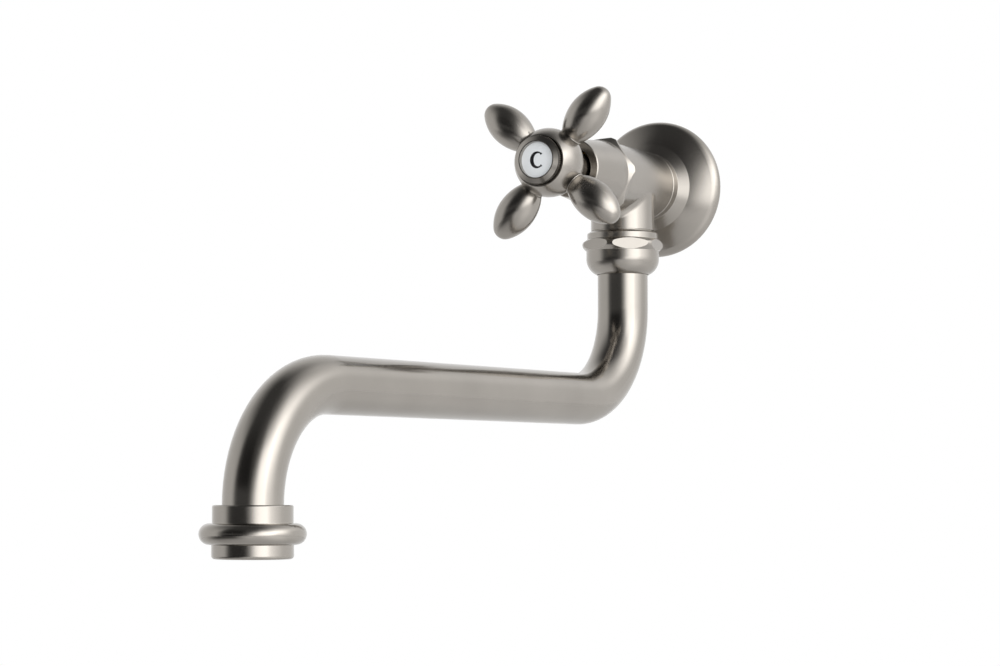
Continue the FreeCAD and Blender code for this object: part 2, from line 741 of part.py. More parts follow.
def make_thrust_washer():
    collar("thrust_washer", "stem_bore_r", "cage_bore_r", "thrust_start", "cage_bore_end")


def make_spindle():
    """Drive blade, collar, sealed stem and serrated end with the handle screw's hole"""
    body = piece("spindle")
    collar_start = "thrust_start - collar_t"
    turned(body, [
        ("0", "moving_disc_end"),
        ("drive_stem_r", "moving_disc_end"),
        ("drive_stem_r", collar_start),
        ("disc_r - free_gap", collar_start),
        ("disc_r - free_gap", "thrust_start"),
        ("stem_r", "thrust_start"),
        ("stem_r", "spline_end - spline_tooth"),
        ("stem_r - spline_tooth", "spline_end"),
        ("0", "spline_end"),
    ])
    blade = new_sketch(body, "blade", "XY_Plane", "moving_disc_end - drive_slot_depth")
    half, reach = "drive_blade_t / 2 - running_gap", "disc_r - free_gap"
    outline(blade, [
        (f"-({reach})", f"-({half})"), (reach, f"-({half})"), (reach, half), (f"-({reach})", half),
    ])
    raised(body, blade, f"{collar_start} - moving_disc_end + drive_slot_depth")
    for station in ("stem_seal_one", "stem_seal_two"):
        groove_for(body, "stem_seal_floor", "stem_r + overcut", "stem_seal_section", station)
    grooved(body, [
        ("clip_floor", "clip_start"), ("stem_r + overcut", "clip_start"),
        ("stem_r + overcut", "clip_end"), ("clip_floor", "clip_end"),
    ])
    tooth = new_sketch(body, "tooth", "XY_Plane", "spline_start")
    half = "stem_r * sin(180 / spline_teeth) * spline_share"
    outline(tooth, [
        (f"-{half}", "stem_r + slip_gap"), ("0", "stem_r - spline_tooth"), (half, "stem_r + slip_gap"),
    ])
    ringed(body, pocketed(body, tooth, "spline_end - spline_start"), "spline_teeth")
    grooved(body, [
        ("0", "screw_bottom"), ("screw_r", "screw_bottom"), ("screw_r", "spline_end"), ("0", "spline_end"),
    ])


def make_stem_seals():
    cord_rings("stem_seals", "stem_seal_floor", "stem_seal_section", ["stem_seal_one", "stem_seal_two"])


def make_spindle_clip():
    """Spring clip in the spindle's groove, in front of the cartridge sleeve"""
    body = piece("spindle_clip")
    turned(body, [
        ("clip_floor", "clip_start"), ("clip_r", "clip_start"),
        ("clip_r", "clip_end"), ("clip_floor", "clip_end"),
    ])
    mouth = new_sketch(body, "mouth", "XY_Plane", "clip_start")
    half, reach = "clip_mouth / 2", "clip_r + overcut"
    outline(mouth, [(f"-{half}", "0"), (half, "0"), (half, reach), (f"-{half}", reach)])
    pocketed(body, mouth, "clip_t")


def make_bonnet():
    """Cover that runs from a hexagon at the body to a round mouth at the spindle"""
    body = piece("bonnet")
    turned(body, [
        ("neck_r", "barrel_end"),
        ("bonnet_corner_r", "barrel_end"),
        ("bonnet_corner_r", "bonnet_bevel_start"),
        ("bonnet_bevel_r", "bonnet_bevel_end"),
        ("bonnet_cone_r", "bonnet_cone_depth", "bonnet_flare_round", "right"),
        ("bonnet_front_r", "bonnet_end - bonnet_edge"),
        ("bonnet_front_r - bonnet_edge", "bonnet_end"),
        ("bonnet_bore_r + bonnet_lip", "bonnet_end - bonnet_dish"),
        ("bonnet_bore_r", "bonnet_end - bonnet_dish - bonnet_lip", "bonnet_lip", "left"),
        ("bonnet_bore_r", "bonnet_cavity_end"),
        ("bonnet_cavity_r", "bonnet_cavity_end"),
        ("bonnet_cavity_r", "cartridge_collar_end"),
        ("neck_r", "cartridge_collar_end"),
    ])
    outside_hexagon(body, "barrel_end", "bonnet_cone_depth - barrel_end", "bonnet_flats", "bonnet_angle",
                    "bonnet_corner_r + overcut")


def make_handle_hub():
    """Ball with a neck behind, seats for the arms, a socket for the spindle and a well in front"""
    body = piece("handle_hub")
    turned(body, [
        ("stem_r + slip_gap", "hub_back"),
        ("hub_neck_r", "hub_back"),
        ("hub_neck_r", "bonnet_end"),
        ("hub_waist_r", "hub_waist"),
        ("hub_r", "hub_centre", "hub_r", "left"),
        ("hub_front_r", "hub_front", "hub_r", "left"),
        ("index_well_r", "hub_front"),
        ("index_well_r", "index_seat"),
        ("screw_well_r", "index_seat"),
        ("screw_well_r", "screw_seat"),
        ("screw_r + slip_gap", "screw_seat"),
        ("screw_r + slip_gap", "socket_end"),
        ("stem_r + slip_gap", "socket_end"),
    ])
    for index in range(int(number("arm_count"))):
        angle = f"(arm_angle + {index} * 360 / arm_count)"
        arm_hole(body, angle)


def arm_hole(body, angle):
    """Flat seat and blind hole for one arm"""
    turn = FreeCAD.Rotation(Vector(0, 0, 1), number(angle)) * FreeCAD.Rotation(Vector(0, 1, 0), 90)
    for radius, start in (("arm_bead_r + slip_gap", "arm_seat"), ("arm_stub_r", "arm_stub_start")):
        sketch = body.newObject("Sketcher::SketchObject", "arm_seat")
        sketch.AttachmentSupport = [(origin_part(body, "XY_Plane"), "")]
        sketch.MapMode = "FlatFace"
        sketch.AttachmentOffset = FreeCAD.Placement(Vector(0, 0, 0), turn)
        spots = (f"{start} * cos{angle}", f"{start} * sin{angle}", "arm_depth")
        for axis, formula in zip("xyz", spots):
            sketch.setExpression(f"AttachmentOffset.Base.{axis}", bound(formula))
        circle_in(sketch, radius)
        pocketed(body, sketch, "hub_r")


def make_handle_arms():
    """Four turned arms, each with a stub in the hub, a bead and an olive-shaped grip"""
    bead_root_r = "arm_bead_r - arm_bead_round + sqrt(arm_bead_round ^ 2 - arm_bead_t ^ 2 / 4)"
    tip_share = "arm_tip_round / (arm_belly_round - arm_tip_round)"
    tip_r = f"{tip_share} * (arm_belly_round - arm_wide_r)"
    tip_span = f"arm_tip_span - arm_tip_round + {tip_share} * (arm_half - arm_tip_round)"
    for index in range(int(number("arm_count"))):
        angle = number("arm_angle") + index * 360 / number("arm_count")
        turn = FreeCAD.Rotation(Vector(0, 1, 0), 90 - angle)
        body = piece(f"handle_arm_{index + 1}", ("0", "-arm_depth", "0"), turn)
        turned(body, [
            ("0", "arm_stub_start"),
            ("arm_stub_r", "arm_stub_start"),
            ("arm_stub_r", "arm_seat"),
            (bead_root_r, "arm_seat"),
            (bead_root_r, "arm_bead_end", "arm_bead_round", "left"),
            ("arm_groove_r", "arm_bead_end"),
            ("arm_groove_r", "arm_groove_end"),
            ("arm_root_r", "arm_groove_end"),
            ("arm_wide_r", "arm_wide_span", "arm_root_round", "left"),
            (tip_r, tip_span, "arm_belly_round", "left"),
            ("0", "arm_tip_span", "arm_tip_round", "left"),
        ])


def make_handle_screw():
    body = piece("handle_screw")
    head_end = "screw_head_start + screw_head_t"
    turned(body, [
        ("0", "screw_bottom + screw_end_room"),
        ("screw_r", "screw_bottom + screw_end_room"),
        ("screw_r", "screw_head_start"),
        ("screw_head_r", "screw_head_start"),
        ("screw_head_r", head_end),
        ("0", head_end),
    ])
    key = new_sketch(body, "key", "XY_Plane", head_end)
    outline(key, polygon("screw_key_flats", "0"))
    pocketed(body, key, "screw_key_depth", upwards=False)


def make_screw_washer():
    collar("screw_washer", "screw_r", "screw_well_r - slip_gap", "screw_seat", "screw_head_start")


def make_index_bezel():
    """Button with a coin edge and a cone that frames the porcelain"""
    body = piece("index_bezel")
    turned(body, [
        ("0", "index_seat"),
        ("index_plug_r", "index_seat"),
        ("index_plug_r", "coin_start"),
        ("coin_r", "coin_start"),
        ("coin_r", "coin_end"),
        ("coin_r - coin_notch", "coin_end + slip_gap / 2"),
        ("bezel_lip_r", "bezel_front"),
        ("porcelain_r", "bezel_front"),
        ("porcelain_r", "porcelain_back"),
        ("0", "porcelain_back"),
    ])
    groove_for(body, "index_well_r - 2 * index_ring_section", "index_well_r", "index_ring_section",
               "index_seat + 2 * index_ring_section")
    notch = new_sketch(body, "notch", "XY_Plane", "coin_start")
    half = "coin_r * sin(180 / coin_notches) * coin_share"
    outline(notch, [
        (f"-{half}", "coin_r + slip_gap"), ("0", "coin_r - coin_notch"), (half, "coin_r + slip_gap"),
    ])
    ringed(body, pocketed(body, notch, "coin_end + slip_gap - coin_start"), "coin_notches")


def make_index_ring():
    cord_rings("index_ring", "index_well_r - 2 * index_ring_section", "index_ring_section",
               ["index_seat + 2 * index_ring_section"])


def make_index_disc():
    """Porcelain disc with a slight crown, sunk below the bezel's lip"""
    body = piece("index_disc")
    crown_round = "(porcelain_r ^ 2 + porcelain_crown ^ 2) / 2 / porcelain_crown"
    turned(body, [
        ("0", "porcelain_back"),
        ("porcelain_r", "porcelain_back"),
        ("porcelain_r", "porcelain_edge"),
        ("0", "porcelain_edge + porcelain_crown", crown_round, "left"),
    ])


def make_swivel_nut():
    """Nut of the swivel: collar, hexagon with turned edges and a bell that closes on the tube"""
    body = piece("swivel_nut", AT_BRANCH, DOWNWARDS)
    turned(body, [
        ("branch_thread_r", "nut_top"),
        ("nut_rim_r", "nut_top"),
        ("nut_collar_r", "nut_top + nut_rim_t"),
        ("nut_collar_r", "nut_hex_start"),
        ("nut_crest_r", "nut_crest_start"),
        ("nut_crest_r", "nut_crest_end", "nut_crest_round", "left"),
        ("nut_bell_r", "nut_hex_end"),
        ("nut_bell_r", "nut_bell_end"),
        ("nut_mouth_r", "nut_end", "nut_round", "left"),
        ("nut_mouth_r", "lower_washer_end"),
        ("swivel_well_r", "lower_washer_end"),
        ("swivel_well_r", "branch_end"),
        ("branch_thread_r", "branch_end"),
    ])
    outside_hexagon(body, "nut_hex_start", "nut_hex_end - nut_hex_start", "nut_flats",
                    "(120 - nut_angle)", "nut_crest_r + nut_crest_round")


def make_swivel_washers():
    collar("upper_swivel_washer", "branch_bore_r + slip_gap", "swivel_collar_r", "branch_end",
           "upper_washer_end", AT_BRANCH, DOWNWARDS)
    collar("lower_swivel_washer", "nut_mouth_r", "swivel_well_r", "lower_washer_start",
           "lower_washer_end", AT_BRANCH, DOWNWARDS)


def make_swivel_ferrule():
    """Turned end of the spout: sealed plug in the branch, collar held by the nut, socket in the tube"""
    body = piece("swivel_ferrule", AT_BRANCH, SPOUT_TURN)
    socket_end = "swivel_collar_end + ferrule_socket"
    turned(body, [
        ("ferrule_bore_r", "ferrule_top"),
        ("ferrule_r - ferrule_edge", "ferrule_top"),
        ("ferrule_r", "ferrule_top + ferrule_edge"),
        ("ferrule_r", "swivel_collar_start"),
        ("swivel_collar_r", "swivel_collar_start"),
        ("swivel_collar_r", "swivel_collar_end"),
        ("tube_bore_r", "swivel_collar_end"),
        ("tube_bore_r", socket_end),
        ("ferrule_bore_r", socket_end),
    ])
    for station in ("ferrule_seal_one", "ferrule_seal_two"):
        groove_for(body, "ferrule_floor", "ferrule_r + overcut", "ferrule_seal_section", station)


def make_spout_seals():
    cord_rings("spout_seals", "ferrule_floor", "ferrule_seal_section",
               ["ferrule_seal_one", "ferrule_seal_two"], AT_BRANCH, SPOUT_TURN)


def make_spout_tube():
    """Bent tube: down out of the nut, out along the run, and down again to the outlet"""
    body = piece("spout_tube", AT_BRANCH, SPOUT_TURN)
    path = new_sketch(body, "path", "YZ_Plane")
    outline(path, [
        ("0", "swivel_collar_end"),
        ("0", "run_drop - upper_bend_r"),
        ("upper_bend_r", "run_drop", "upper_bend_r", "right"),
        ("spout_reach - lower_bend_r", "run_drop"),
        ("spout_reach", "run_drop + lower_bend_r", "lower_bend_r", "left"),
        ("spout_reach", "tube_end"),
    ], closed=False)
    section = new_sketch(body, "section", "XY_Plane", "swivel_collar_end")
    circle_in(circle_in(section, "tube_r"), "tube_bore_r")
    doc.recompute()
    pipe = body.newObject("PartDesign::AdditivePipe", "bent_tube")
    pipe.Profile = (section, [""])
    pipe.Spine = (path, [f"Edge{index + 1}" for index in range(len(path.Shape.Edges))])


def make_outlet_fitting():
    """Fitting brazed on the tube: short cylinder and a rounded grip ring"""
    body = piece("outlet_fitting", AT_OUTLET, SPOUT_TURN)
    nose = "(ring_end - ring_top) / 2"
    turned(body, [
        ("tube_r", "outlet_top"),
        ("outlet_r - outlet_edge", "outlet_top"),
        ("outlet_r", "outlet_top + outlet_edge"),
        ("outlet_r", "ring_top"),
        (f"ring_r - {nose}", "ring_top"),
        ("ring_r", f"ring_top + {nose}", nose, "left"),
        (f"ring_r - {nose}", "ring_end", nose, "left"),
        ("aerator_thread_r", "ring_end"),
        ("aerator_thread_r", "aerator_seat"),
        ("outlet_bore_r", "aerator_seat"),
        ("outlet_bore_r", "tube_end"),
        ("tube_r", "tube_end"),
    ])


def make_aerator():
    """Screw-in housing with its washer, screen and slotted insert"""
    collar("aerator_washer", "outlet_bore_r", "aerator_thread_r", "aerator_seat", "aerator_stem_top",
           AT_OUTLET, SPOUT_TURN)
    housing = piece("aerator_housing", AT_OUTLET, SPOUT_TURN)
    turned(housing, [
        ("aerator_bore_r", "aerator_stem_top"),
        ("aerator_thread_r", "aerator_stem_top"),
        ("aerator_thread_r", "ring_end"),
        ("aerator_r", "ring_end"),
        ("aerator_r", "aerator_end - aerator_round"),
        ("aerator_r - aerator_round", "aerator_end", "aerator_round", "left"),
        ("aerator_lip_r", "aerator_end"),
        ("aerator_lip_r", "aerator_floor"),
        ("aerator_bore_r", "aerator_floor"),
    ])
    screen = piece("aerator_screen", AT_OUTLET, SPOUT_TURN)
    turned(screen, [
        ("0", "aerator_stem_top"),
        ("aerator_bore_r", "aerator_stem_top"),
        ("aerator_bore_r", "screen_end"),
        ("0", "screen_end"),
    ])
    insert = piece("aerator_insert", AT_OUTLET, SPOUT_TURN)
    floor_start = "aerator_floor - insert_floor"
    turned(insert, [
        ("0", floor_start),
        ("aerator_bore_r - insert_rim", floor_start),
        ("aerator_bore_r - insert_rim", "screen_end"),
        ("aerator_bore_r", "screen_end"),
        ("aerator_bore_r", "aerator_floor"),
        ("0", "aerator_floor"),
    ])
    slot = new_sketch(insert, "slot", "XY_Plane", floor_start)
    half = "slot_width / 2"
    outline(slot, [
        ("slot_inner_r", f"-{half}"), ("slot_outer_r", f"-{half}"),
        ("slot_outer_r", half), ("slot_inner_r", half),
    ])
    ringed(insert, pocketed(insert, slot, "insert_floor"), "slot_count")


def check_document():
    """Stops when an object failed, a cut removed nothing or a piece isn't one sound shape"""
    for thing in doc.Objects:
        if "Invalid" in thing.State or "Error" in thing.State:
            raise RuntimeError(f"{thing.Name} failed: {thing.State}")
        if thing.TypeId in ("PartDesign::Pocket", "PartDesign::Groove"):
            if thing.Shape.Volume > thing.BaseFeature.Shape.Volume - 1e-4:
                raise RuntimeError(f"{thing.Name} cut nothing")
    for body in nodes:
        if body.Shape.isNull() or not body.Shape.isValid():
            raise RuntimeError(f"{body.Label} has no sound shape")


def check_tube():
    """Compares the tube's volume with its section times its length"""
    tube = doc.getObject("spout_tube")
    straight = number("run_drop - upper_bend_r - swivel_collar_end + spout_reach - upper_bend_r"
                      " - lower_bend_r + tube_end - run_drop - lower_bend_r")
    length = straight + math.pi / 2 * number("upper_bend_r + lower_bend_r")
    section = math.pi * number("tube_r * tube_r - tube_bore_r * tube_bore_r")
    if abs(tube.Shape.Volume / (section * length) - 1) > 0.002:
        raise RuntimeError("the tube's volume is wrong")


make_wall_flange()
make_flange_seal()
make_inlet_nipple()
make_inlet_washer()
make_tee_body()
make_seat_seal()
make_fixed_disc()
make_moving_disc()
make_cartridge_body()
make_cartridge_seal()
make_thrust_washer()
make_spindle()
make_stem_seals()
make_spindle_clip()
make_bonnet()
make_handle_hub()
make_handle_arms()
make_handle_screw()
make_screw_washer()
make_index_bezel()
make_index_ring()
make_index_disc()
make_swivel_nut()
make_swivel_washers()
make_swivel_ferrule()
make_spout_seals()
make_spout_tube()
make_outlet_fitting()
make_aerator()
doc.recompute()
check_document()
check_tube()
os.makedirs("parts", exist_ok=True)
for body in nodes:
    body.Shape.exportStep(f"parts/{body.Label}.step")
    print(f"{body.Label:22} solids {len(body.Shape.Solids)}  volume {body.Shape.Volume:10.2f}")
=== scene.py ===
import bmesh
import bpy
import json
import math
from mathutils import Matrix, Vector

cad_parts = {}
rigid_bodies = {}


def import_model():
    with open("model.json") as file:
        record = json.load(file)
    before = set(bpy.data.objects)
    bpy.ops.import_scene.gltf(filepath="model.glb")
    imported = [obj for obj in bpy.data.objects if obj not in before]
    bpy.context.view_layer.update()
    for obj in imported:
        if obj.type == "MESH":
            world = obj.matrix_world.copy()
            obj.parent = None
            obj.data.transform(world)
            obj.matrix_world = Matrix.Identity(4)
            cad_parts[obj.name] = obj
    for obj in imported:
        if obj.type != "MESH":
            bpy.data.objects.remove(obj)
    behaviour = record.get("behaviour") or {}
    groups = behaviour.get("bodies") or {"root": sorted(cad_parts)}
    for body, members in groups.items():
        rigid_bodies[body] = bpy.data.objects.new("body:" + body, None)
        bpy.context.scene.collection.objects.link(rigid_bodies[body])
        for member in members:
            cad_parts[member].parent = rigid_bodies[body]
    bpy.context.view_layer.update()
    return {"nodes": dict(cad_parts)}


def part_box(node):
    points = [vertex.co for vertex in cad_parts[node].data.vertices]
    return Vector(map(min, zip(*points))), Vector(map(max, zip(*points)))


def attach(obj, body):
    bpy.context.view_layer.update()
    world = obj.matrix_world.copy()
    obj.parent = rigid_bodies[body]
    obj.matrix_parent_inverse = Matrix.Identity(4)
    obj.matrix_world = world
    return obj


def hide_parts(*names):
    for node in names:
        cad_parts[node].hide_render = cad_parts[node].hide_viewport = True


# Wall-mounted swivel tap in satin nickel. Metres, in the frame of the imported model: the
# origin is the centre of the inlet at the wall, +Z is up and the tap stands out towards -Y.
#
# Directions round the tap are in degrees: an azimuth is 0 straight in front of it, grows
# towards +X and is 180 behind the wall, and an elevation is 0 level with it and 90 above.

for leftover in list(bpy.data.objects):
    bpy.data.objects.remove(leftover)
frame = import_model()
MM = 0.001

# Camera of the photograph
PHOTO_WIDTH = 1000
SENSOR_WIDTH = 36
CAMERA_SPOT = Vector((478.49, -1114.11, -135.02)) * MM
CAMERA_YAW = math.radians(26.62)
CAMERA_PITCH = math.radians(3.31)
FOCAL_PIXELS = 2681.63

# Studio, all brightness relative to a white background of 1. A list runs through stops of
# (angle or distance, value). The walls end at WALL_TOPS, and WALL_FADE is their brightness
# below and above that edge. The softbox leans by SOFTBOX_LEAN of its height.
AZIMUTHS = (-180, 180)
ELEVATIONS = (-90, 90)
STRAIGHT_UP = 90
CEILING = 0.07
WALLS = [(-180, 0.85), (-150, 0.95), (-120, 0.9), (-62, 0.86), (-52, 0.78), (-45, 0.4),
         (-38, 0.1), (-28, 0.03), (8, 0.02), (22, 0.1), (52, 0.2), (82, 0.3), (112, 0.45),
         (142, 0.65), (160, 0.8), (180, 0.85)]
WALL_TOPS = [(-180, 62), (-150, 60), (-120, 51), (-75, 47), (-50, 43), (0, 46), (30, 50),
             (60, 58), (90, 67), (125, 72), (150, 69), (180, 62)]
WALL_FADE = [(-30, 1.0), (-12, 0.85), (0, 0.5), (10, 0.22), (22, 0.0)]
SOFTBOX = 2.5
SOFTBOX_LEAN = 0.45
SOFTBOX_SIDES = [(12, 0.0), (17, 0.05), (24, 0.14), (32, 0.42), (40, 0.8), (47, 0.95),
                 (55, 1.0), (72, 1.0), (84, 0.45), (100, 0.08), (112, 0.0)]
SOFTBOX_HEIGHT = [(-24, 0.15), (-16, 0.35), (-8, 0.9), (0, 1.0), (20, 1.0), (28, 0.8),
                  (36, 0.38), (48, 0.13), (58, 0.0)]
DOORWAY = 0.08
DOORWAY_SIDES = [(-50, 0.0), (-40, 1.0), (8, 1.0), (18, 0.0)]
DOORWAY_HEIGHT = [(-2, 0.0), (2, 1.0), (9, 1.0), (13, 0.0)]
WINDOW = 1.75
WINDOW_SIDES = [(42, 0.0), (52, 0.17), (67, 0.23), (82, 0.57), (97, 0.97), (112, 1.0),
                (127, 0.66), (142, 0.4), (157, 0.25), (175, 0.0)]
WINDOW_HEIGHT = [(-24, 0.3), (-5, 0.45), (8, 0.62), (15, 0.9), (28, 1.0), (36, 0.85),
                 (46, 0.55), (56, 0.3), (66, 0.12), (76, 0.0)]
REAR_SIDES = [(-130, 1.0), (-105, 0.0), (105, 0.0), (130, 1.0)]
REAR_HEIGHT = [(18, 1.0), (34, 0.0)]
FILL_SPOT = Vector((0.3, -1.7, 0.2))
FILL_SIZE = 1.0
FILL_WATTS = 10

# Floor: its paint, the glow that makes it white to the camera, and the painted light and painted
# shade that set its brightness in metal
FLOOR_LEVEL = -0.62
FLOOR_REACH = 2.2
FLOOR_SEGMENTS = 64
FLOOR_WHITE = 0.55
FLOOR_OWN = 0.7
# Painted light seen in metal: its brightness under the tap, round it by side and how far out it
# spreads; brightest at the right, where the softbox stands
FLOOR_PAINTED_LIGHT_UNDER = 0.3
FLOOR_PAINTED_LIGHT_AROUND = [(-180, 0.45), (-90, 0.45), (-60, 0.3), (-45, 0.05), (-30, 0.0), (-12, 0.0),
                (2, 0.1), (15, 0.25), (32, 0.36), (48, 0.65), (62, 0.82), (78, 0.85),
                (97, 0.62), (135, 0.56), (180, 0.45)]
FLOOR_PAINTED_LIGHT_SPREAD = [(0.1, 0.0), (0.8, 1.0)]
# Painted shade in metal: how much darker the paint is far ahead at the left, by side and by
# distance
FLOOR_PAINTED_SHADE = 0.8
FLOOR_PAINTED_SHADE_SIDES = [(-78, 0.0), (-55, 1.0), (-8, 1.0), (14, 0.0)]
FLOOR_PAINTED_SHADE_FROM = [(0.7, 0.0), (1.1, 1.0)]

# Nickel
NICKEL = (0.37, 0.346, 0.315)
STAIN_SCALE = 38.0
STAIN_DETAIL = 5.0
STAIN_TONE = (0.95, 1.05)
STAIN_ROUGHNESS = 0.1
SATIN_SCALE = 2400.0
SATIN_DETAIL = 2.0
SATIN_DEPTH = 0.0008 * MM
SATIN_ROUGHNESS = 0.12
SWELL_SCALE = 55.0
SWELL_DETAIL = 1.0
TUBE_SWELL = 0.03 * MM
EDGE_ROUND = 0.22 * MM
COIN_EDGE_ROUND = 0.03 * MM
EDGE_SAMPLES = 6
# Edges worn smooth that also carry a painted highlight: reach and lean of the edge mask, its
# least share, the painted lift of tone and the drop of roughness
WEAR_AND_HIGHLIGHT_REACH = 0.6 * MM
WEAR_AND_HIGHLIGHT_LEAN = (0.995, 0.9)
WEAR_AND_HIGHLIGHT_LEAST = 0.2
PAINTED_EDGE_HIGHLIGHT = 0.3
WEAR_ROUGHNESS = -0.08

# Other materials
PATCH_SCALE = 60.0
PATCH_DETAIL = 4.0
GRAIN_SCALE = 900.0
GRAIN_DETAIL = 3.0
GRAIN_DEPTH = 0.03 * MM
NOISE_MEAN = 0.5
NOISE_SPAN = (0.3, 0.7)
NOISE_SUM_SPAN = (0.7, 1.3)
ROUGHNESS_SPREAD = 0.08
TONE_SPREAD = 0.12

# Slots of the record: roughness, height of the swell and radius of the edges
NICKELS = {
    "satin_nickel_body": (0.22, 0.0, EDGE_ROUND),
    "satin_nickel_handle": (0.245, 0.0, EDGE_ROUND),
    "satin_nickel_spout": (0.175, TUBE_SWELL, EDGE_ROUND),
    "index_nickel": (0.2, 0.0, COIN_EDGE_ROUND),
}

# Slots of the record and the letter's enamel: colour, metallic and roughness, and for the
# glaze the smaller spreads of roughness and tone
OTHERS = {
    "porcelain": ((0.84, 0.87, 0.89), 0.0, 0.12, 0.03, 0.02),
    "raw_brass": ((0.6, 0.42, 0.16), 1.0, 0.35),
    "ceramic_disc": ((0.8, 0.78, 0.74), 0.0, 0.2),
    "black_rubber": ((0.015, 0.015, 0.016), 0.0, 0.65),
    "fibre": ((0.3, 0.08, 0.05), 0.0, 0.8),
    "white_ptfe": ((0.8, 0.8, 0.78), 0.0, 0.45),
    "black_acetal": ((0.02, 0.02, 0.02), 0.0, 0.5),
    "stainless": ((0.5, 0.5, 0.49), 1.0, 0.3),
    "aerator_plastic": ((0.55, 0.56, 0.57), 0.0, 0.45),
    "black_enamel": ((0.012, 0.012, 0.014), 0.0, 0.3),
}

# Letter on the index: half its gap in degrees, the half width of its stroke, and the length
# of the balls at both ends as a share of the stroke
PORCELAIN_CROWN = 0.5 * MM
LETTER_STEPS = 72
LETTER_OPEN = 46
LETTER_WIDTH = 2.6 * MM
LETTER_HEIGHT = 3.1 * MM
STROKE_THIN = 0.24 * MM
STROKE_SWELL = 0.62 * MM
STROKE_BALL = 0.26 * MM
UPPER_BALL = 0.04
LOWER_BALL = 0.03
INK_SUNK = -0.02 * MM
INK_PROUD = 0.03 * MM

# G1/2 pipe thread of the nipple
NIPPLE_BORE = 7.4 * MM
THREAD_CREST = 10.48 * MM
THREAD_ROOT = 9.32 * MM
THREAD_PITCH = 1.814 * MM
THREAD_FULLNESS = 0.8
THREAD_ROWS = 12
THREAD_SEGMENTS = 72
THREAD_LEAD_IN = 1.6 * MM
THREAD_RUN_OUT = 1.2 * MM
HEX_HALF = 11.0 * MM
HEX_THICK = 3.0 * MM
HEX_SIXTH = math.radians(60)
SHARP_ANGLE = math.radians(35)


def aim_camera():
    data = bpy.data.cameras.new("photo_camera")
    data.sensor_width = SENSOR_WIDTH
    data.lens = FOCAL_PIXELS * SENSOR_WIDTH / PHOTO_WIDTH
    camera = bpy.data.objects.new("photo_camera", data)
    camera.location = CAMERA_SPOT
    camera.rotation_euler = (math.pi / 2 + CAMERA_PITCH, 0, CAMERA_YAW)
    bpy.context.scene.collection.objects.link(camera)
    bpy.context.scene.camera = camera


class Graph:
    """Short calls for building a node tree"""

    def __init__(self, tree):
        self.tree = tree
        tree.nodes.clear()

    def node(self, kind, inputs=(), **settings):
        made = self.tree.nodes.new(kind)
        for name, value in settings.items():
            setattr(made, name, value)
        for name, value in dict(inputs).items():
            if isinstance(value, bpy.types.NodeSocket):
                self.tree.links.new(value, made.inputs[name])
            else:
                made.inputs[name].default_value = value
        return made

    def maths(self, operation, *values):
        return self.node("ShaderNodeMath", enumerate(values), operation=operation).outputs[0]

    def remap(self, value, low, high, bottom, top):
        """Value that runs from bottom to top while the given one runs from low to high"""
        return self.node("ShaderNodeMapRange", {
            "Value": value, "From Min": low, "From Max": high,
            "To Min": bottom, "To Max": top}).outputs[0]

    def ramp(self, value, stops, low, high):
        """Brightness that runs through stops of (position, brightness) between low and high"""
        made = self.node("ShaderNodeValToRGB", {"Fac": self.remap(value, low, high, 0.0, 1.0)})
        elements = made.color_ramp.elements
        while len(elements) < len(stops):
            elements.new(0.5)
        for element, (place, brightness) in zip(elements, stops):
            element.position = (place - low) / (high - low)
            element.color = (brightness, brightness, brightness, 1)
        return made.outputs["Color"]

    def area(self, azimuth, sides, elevation, heights):
        """Soft-edged area of the surroundings, from its brightness across and upwards"""
        return self.maths("MULTIPLY", self.ramp(azimuth, sides, *AZIMUTHS),
                          self.ramp(elevation, heights, *ELEVATIONS))

    def azimuth(self, direction):
        parts = self.node("ShaderNodeSeparateXYZ", {"Vector": direction}).outputs
        ahead = self.maths("MULTIPLY", parts["Y"], -1.0)
        return self.maths("DEGREES", self.maths("ARCTAN2", parts["X"], ahead))

    def elevation(self, direction):
        parts = self.node("ShaderNodeSeparateXYZ", {"Vector": direction}).outputs
        return self.maths("DEGREES", self.maths("ARCSINE", parts["Z"]))

    def noise(self, place, scale, detail):
        return self.node("ShaderNodeTexNoise", {
            "Vector": place, "Scale": scale, "Detail": detail}).outputs[0]

    def tint(self, colour, tone):
        return self.node("ShaderNodeVectorMath", {0: colour, "Scale": tone},
                         operation="SCALE").outputs[0]


